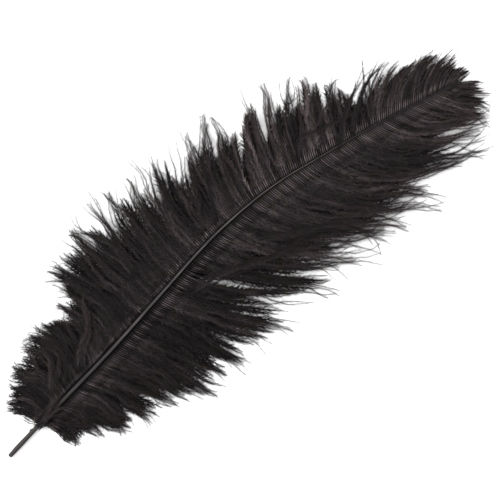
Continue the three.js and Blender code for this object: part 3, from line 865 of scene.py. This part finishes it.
def fibre_tree():
    """Geometry nodes that turn barb centre lines into barbs with two rows of barbules each."""
    tree = bpy.data.node_groups.new("barbs and barbules", "GeometryNodeTree")
    sockets = [("Geometry", "Geometry")] + [(name, "Float") for name in FIBRE_SIZES]
    for name, kind in sockets + [("Seed", "Int"), ("Material", "Material")]:
        tree.interface.new_socket(name, in_out="INPUT", socket_type="NodeSocket" + kind)
    tree.interface.new_socket("Geometry", in_out="OUTPUT", socket_type="NodeSocketGeometry")
    given = tree.nodes.new("NodeGroupInput").outputs
    result = tree.nodes.new("NodeGroupOutput")

    def attribute(name):
        return add(tree, "GeometryNodeInputNamedAttribute", {"Name": name}).outputs[0]

    def calc(operation, *values):
        return add(tree, "ShaderNodeMath", dict(enumerate(values)), operation=operation).outputs[0]

    def vector(operation, *values):
        return add(tree, "ShaderNodeVectorMath", dict(enumerate(values)), operation=operation).outputs[0]

    def scaled(value, factor):
        return add(tree, "ShaderNodeVectorMath", {0: value, "Scale": factor}, operation="SCALE").outputs[0]

    def parts_of(value):
        return add(tree, "ShaderNodeSeparateXYZ", {0: value}).outputs

    def joined_up(x, y, z=0.0):
        return add(tree, "ShaderNodeCombineXYZ", {0: x, 1: y, 2: z}).outputs[0]

    def store(geometry, name, value, domain="POINT", data_type="FLOAT"):
        return add(
            tree, "GeometryNodeStoreNamedAttribute", {"Geometry": geometry, "Name": name, "Value": value},
            domain=domain, data_type=data_type,
        ).outputs[0]

    def random(low, high, offset):
        seed = calc("ADD", given["Seed"], offset)
        return add(tree, "FunctionNodeRandomValue", {2: low, 3: high, "Seed": seed}).outputs[1]

    # each barb is a thin blade on edge that leans over its neighbour, with a painted highlight along its
    # upper edge
    position = add(tree, "GeometryNodeInputPosition").outputs[0]
    lines = add(tree, "GeometryNodeMeshToCurve", {"Mesh": given["Geometry"]}).outputs[0]
    upright = add(tree, "GeometryNodeSetCurveNormal", {"Curve": lines}, mode="Z_UP").outputs[0]
    lean = attribute("lean")
    leaning = add(tree, "GeometryNodeSetCurveTilt", {"Curve": upright, "Tilt": lean}).outputs[0]
    section = add(tree, "GeometryNodeCurvePrimitiveCircle", {"Resolution": 3, "Radius": 1.0}).outputs[0]
    thin = {"Geometry": section, "Scale": (1.0, BLADE_THINNESS, 1.0)}
    section = add(tree, "GeometryNodeTransform", thin).outputs[0]
    edge = parts_of(position)
    # painted highlight along the blade's upper edge and painted shade along its lower edges
    section = store(section, "shade", calc("MULTIPLY_ADD", edge["X"], BLADE_SHADE_RISES, BLADE_SHADE))
    section = store(section, "across", edge["Y"])
    blades = add(
        tree, "GeometryNodeCurveToMesh",
        {"Curve": leaning, "Profile Curve": section, "Scale": attribute("blade"), "Fill Caps": True},
    ).outputs[0]

    # the barbules leave it in turn to the left and to the right, short and hanging down near the shaft
    spots = add(
        tree, "GeometryNodeCurveToPoints", {"Curve": lines, "Length": given["Barbule spacing"]},
        mode="LENGTH",
    )
    ahead = spots.outputs["Tangent"]
    level = vector("NORMALIZE", vector("CROSS_PRODUCT", ahead, (0.0, 0.0, 1.0)))
    upward = vector("CROSS_PRODUCT", level, ahead)
    index = add(tree, "GeometryNodeInputIndex").outputs[0]
    side = calc("MULTIPLY_ADD", calc("MODULO", index, 2.0), 2.0, -1.0)
    under = attribute("under")
    hang = attribute("hang")
    roll = calc("SUBTRACT", random(-ROLL_VARIES, ROLL_VARIES, 1), calc("MULTIPLY", hang, HANG_ROLL))
    level = scaled(scaled(level, side), calc("COSINE", roll))
    sideways = vector("ADD", level, scaled(upward, calc("SINE", roll)))
    angle = calc("MULTIPLY", attribute("spread"), random(*SPREAD_VARIES, 3))
    length = calc("MULTIPLY", attribute("fluff"), random(*FLUFF_VARIES, 4))
    reach = vector("ADD", scaled(ahead, calc("COSINE", angle)), scaled(sideways, calc("SINE", angle)))
    end = parts_of(vector("ADD", position, scaled(reach, length)))
    end = joined_up(end["X"], end["Y"], calc("MAXIMUM", end["Z"], given["Clearance"]))
    reach = vector("SUBTRACT", end, position)
    turned = add(
        tree, "FunctionNodeAxesToRotation",
        {"Primary Axis": reach, "Secondary Axis": vector("CROSS_PRODUCT", reach, (0.0, 0.0, 1.0))},
        primary_axis="Z", secondary_axis="X",
    ).outputs[0]
    broad = calc("SUBTRACT", given["Under width"], given["Barbule width"])
    fine = calc("MULTIPLY", given["Barbule width"], attribute("fine"))
    width = calc("MULTIPLY_ADD", under, broad, fine)
    size = joined_up(width, calc("MULTIPLY", given["Barbule width"], BARBULE_THINNESS), length)
    barbule = add(
        tree, "GeometryNodeMeshCone",
        {"Vertices": 3, "Side Segments": 1, "Radius Top": 0.0, "Radius Bottom": 0.5, "Depth": 1.0},
        fill_type="NGON",
    ).outputs[0]
    spot = parts_of(position)
    # painted shade and light: darker at the barbule's root and lower side, lighter towards its tip and
    # upper side
    at_root = calc("MULTIPLY_ADD", spot["Y"], BARBULE_SHADE_UP, BARBULE_SHADE)
    barbule = store(barbule, "shade", calc("MULTIPLY_ADD", spot["Z"], BARBULE_SHADE_OUT, at_root))
    barbule = store(barbule, "across", spot["X"])
    tone = calc("ADD", attribute("tone"), random(-BARBULE_TONE_VARIES, BARBULE_TONE_VARIES, 5))
    # painted shade: hanging barbules are darker in tone
    tone = calc("MULTIPLY", tone, calc("MULTIPLY_ADD", hang, -HANG_TONE_LOSS, 1.0))
    toned = store(spots.outputs["Points"], "tone", tone)
    one_in = calc("DIVIDE", given["Under spacing"], given["Barbule spacing"])
    # the upper layer has a barbule at every spot and the lower layer at one in so many
    in_turn = calc("LESS_THAN", calc("MODULO", index, one_in), 1.0)
    kept = calc("MAXIMUM", calc("LESS_THAN", under, 0.01), in_turn)
    barbules = add(
        tree, "GeometryNodeInstanceOnPoints",
        {"Points": toned, "Selection": kept, "Instance": barbule, "Rotation": turned, "Scale": size},
    ).outputs[0]
    barbules = add(tree, "GeometryNodeRealizeInstances", {"Geometry": barbules}).outputs[0]
    # painted shade on hanging barbules
    shadow = calc("MULTIPLY_ADD", hang, -HANG_SHADE_LOSS, 1.0)
    shaded = calc("MULTIPLY", attribute("shade"), shadow)
    barbules = store(barbules, "shade", shaded)

    joined = add(tree, "GeometryNodeJoinGeometry")
    tree.links.new(blades, joined.inputs[0])
    tree.links.new(barbules, joined.inputs[0])
    # the fibre's tone mixed with its painted light and shade
    by_place = calc("MULTIPLY_ADD", hang, HANG_BY_PLACE, BY_PLACE)
    tone, shade = attribute("tone"), attribute("shade")
    shade = add(tree, "ShaderNodeMix", {0: by_place, 2: tone, 3: shade}).outputs[0]
    # painted light: every fibre is lighter where barbules hang
    shade = calc("MULTIPLY", shade, calc("MULTIPLY_ADD", hang, HANG_LIGHT_GAIN, 1.0))
    shade = calc("MULTIPLY", shade, attribute("light"))
    # the bake map: along each fibre, and across it the fibre's tone mixed with its painted light and shade
    run = calc("MULTIPLY_ADD", attribute("across"), ACROSS_SHARE, attribute("along"))
    mapped = store(joined.outputs[0], "OFBake", joined_up(run, shade), domain="CORNER", data_type="FLOAT2")
    # nothing reaches below the surface that the feather lies on
    at = parts_of(position)
    at = joined_up(at["X"], at["Y"], calc("MAXIMUM", at["Z"], SURFACE_GAP * MM))
    mapped = add(tree, "GeometryNodeSetPosition", {"Geometry": mapped, "Position": at}).outputs[0]
    painted = {"Geometry": mapped, "Material": given["Material"]}
    finished = add(tree, "GeometryNodeSetMaterial", painted).outputs[0]
    tree.links.new(finished, result.inputs[0])
    return tree


# Dyed down: black keratin fibres a few hundredths of a millimetre thick. Their smooth skin gives a soft
# sheen along each lock, and their colour holds painted highlights and painted shade. The dye is thinner
# towards the tips, so they are a warmer and paler black.
down, tree, surface = new_material("black dyed down")
place = add(tree, "ShaderNodeUVMap", uv_map="OFBake")
fibre = add(tree, "ShaderNodeSeparateXYZ", {0: place.outputs[0]})
by_length = ramp_stops(
    add(tree, "ShaderNodeValToRGB", {0: fibre.outputs["X"]}),
    [(0.0, "#ffffff"), (0.5, "#e6e0e0"), (1.0, "#fff6f4")],
)
# colour from the fibre's tone mixed with its painted light and shade
by_fibre = ramp_stops(
    add(tree, "ShaderNodeValToRGB", {0: fibre.outputs["Y"]}),
    [(0.0, "#080606"), (0.2, "#120f0f"), (0.45, "#282324"), (0.7, "#51494a"), (0.85, "#807577")],
)
paint = add(
    tree, "ShaderNodeMix", {0: 1.0, 6: by_length.outputs[0], 7: by_fibre.outputs[0]},
    data_type="RGBA", blend_type="MULTIPLY",
)
tree.links.new(paint.outputs[2], surface.inputs["Base Color"])
surface.inputs["Roughness"].default_value = 0.5
surface.inputs["IOR"].default_value = 1.45
surface.inputs["Specular IOR Level"].default_value = 0.12

fibres = fibre_tree()
inputs = {s.name: s.identifier for s in fibres.interface.items_tree if s.in_out == "INPUT"}


def make_fibres(name, barbs, chosen, nodes, seed):
    """The chosen barbs with their barbules, as one piece that takes the place of these nodes' solids."""
    guide = bpy.data.objects.new(name + "_lines", guide_mesh(name + "_lines", barbs, chosen))
    bpy.context.scene.collection.objects.link(guide)
    modifier = guide.modifiers.new("fibres", "NODES")
    modifier.node_group = fibres
    for key, size in FIBRE_SIZES.items():
        modifier[inputs[key]] = size * MM
    modifier[inputs["Seed"]] = seed
    modifier[inputs["Material"]] = down
    evaluated = guide.evaluated_get(bpy.context.evaluated_depsgraph_get())
    mesh = bpy.data.meshes.new_from_object(evaluated)
    mesh.name = name
    piece = bpy.data.objects.new(name, mesh)
    bpy.context.scene.collection.objects.link(piece)
    bpy.data.objects.remove(guide)
    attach(piece, "root")
    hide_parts(*nodes)


# each vane is made in three pieces, parted at these places along the shaft
LEFT_PARTED = (132, 196)
RIGHT_PARTED = (146, 206)
for vane, parted, side, seed in (
    (LEFT_VANE, LEFT_PARTED, "left", 5),
    (RIGHT_VANE, RIGHT_PARTED, "right", 9),
):
    roots, barbs = grow_vane(vane)
    part_of = np.searchsorted(parted, roots, side="right")
    for number, part in enumerate(("base", "middle", "tip")):
        make_fibres(f"barbs_{side}_{part}", barbs, part_of == number, ["vane_" + side], seed)
make_fibres("barbs_loose", grow_loose(LOOSE_SEED), slice(None), ["vane_left", "vane_right"], 7)


# ------------------------------------------------------------------------------
# The studio: a matt white table under a large soft light, seen from straight above.
# ------------------------------------------------------------------------------
TABLE_SIZE = 4.0  # metres, as are all the sizes and places here
bpy.ops.mesh.primitive_plane_add(size=TABLE_SIZE)
table = bpy.context.object
table.name = "table"
# Painted board: matt white, so that only the feather has a sheen.
paper, tree, surface = new_material("matt white board")
surface.inputs["Base Color"].default_value = colour("#f4f4f4")
surface.inputs["Roughness"].default_value = 0.9
table.data.materials.append(paper)


def add_area_light(name, place, size, power):
    """A square light that shines on the middle of the table."""
    light = bpy.data.lights.new(name, "AREA")
    light.shape = "SQUARE"
    light.size = size
    light.energy = power
    lamp = bpy.data.objects.new(name, light)
    lamp.location = place
    lamp.rotation_euler = (-Vector(place)).to_track_quat("-Z", "Y").to_euler()
    bpy.context.scene.collection.objects.link(lamp)


add_area_light("key", (-0.5, 0.9, 1.3), 0.9, 30)
add_area_light("fill", (0.9, -0.7, 1.2), 1.2, 12)

WORLD_STRENGTH = 0.9
world = bpy.data.worlds.new("studio")
world.use_nodes = True
world.node_tree.nodes["Background"].inputs[0].default_value = (1, 1, 1, 1)
world.node_tree.nodes["Background"].inputs[1].default_value = WORLD_STRENGTH
bpy.context.scene.world = world
bpy.context.scene.view_settings.view_transform = "Standard"

FEATHER_TILT = 40  # degrees that the feather's length climbs across the picture
PICTURE_WIDTH = 0.275  # metres of table across the picture
PICTURE_MIDDLE = (0.0081, -0.0137)
LENS = 135  # mm, as is the sensor's width
SENSOR_WIDTH = 36
camera_data = bpy.data.cameras.new("camera")
camera_data.lens = LENS
camera_data.sensor_width = SENSOR_WIDTH
camera = bpy.data.objects.new("camera", camera_data)
camera.location = (*PICTURE_MIDDLE, PICTURE_WIDTH * LENS / SENSOR_WIDTH)
camera.rotation_euler = (0, 0, -math.radians(FEATHER_TILT))
bpy.context.scene.collection.objects.link(camera)
bpy.context.scene.camera = camera
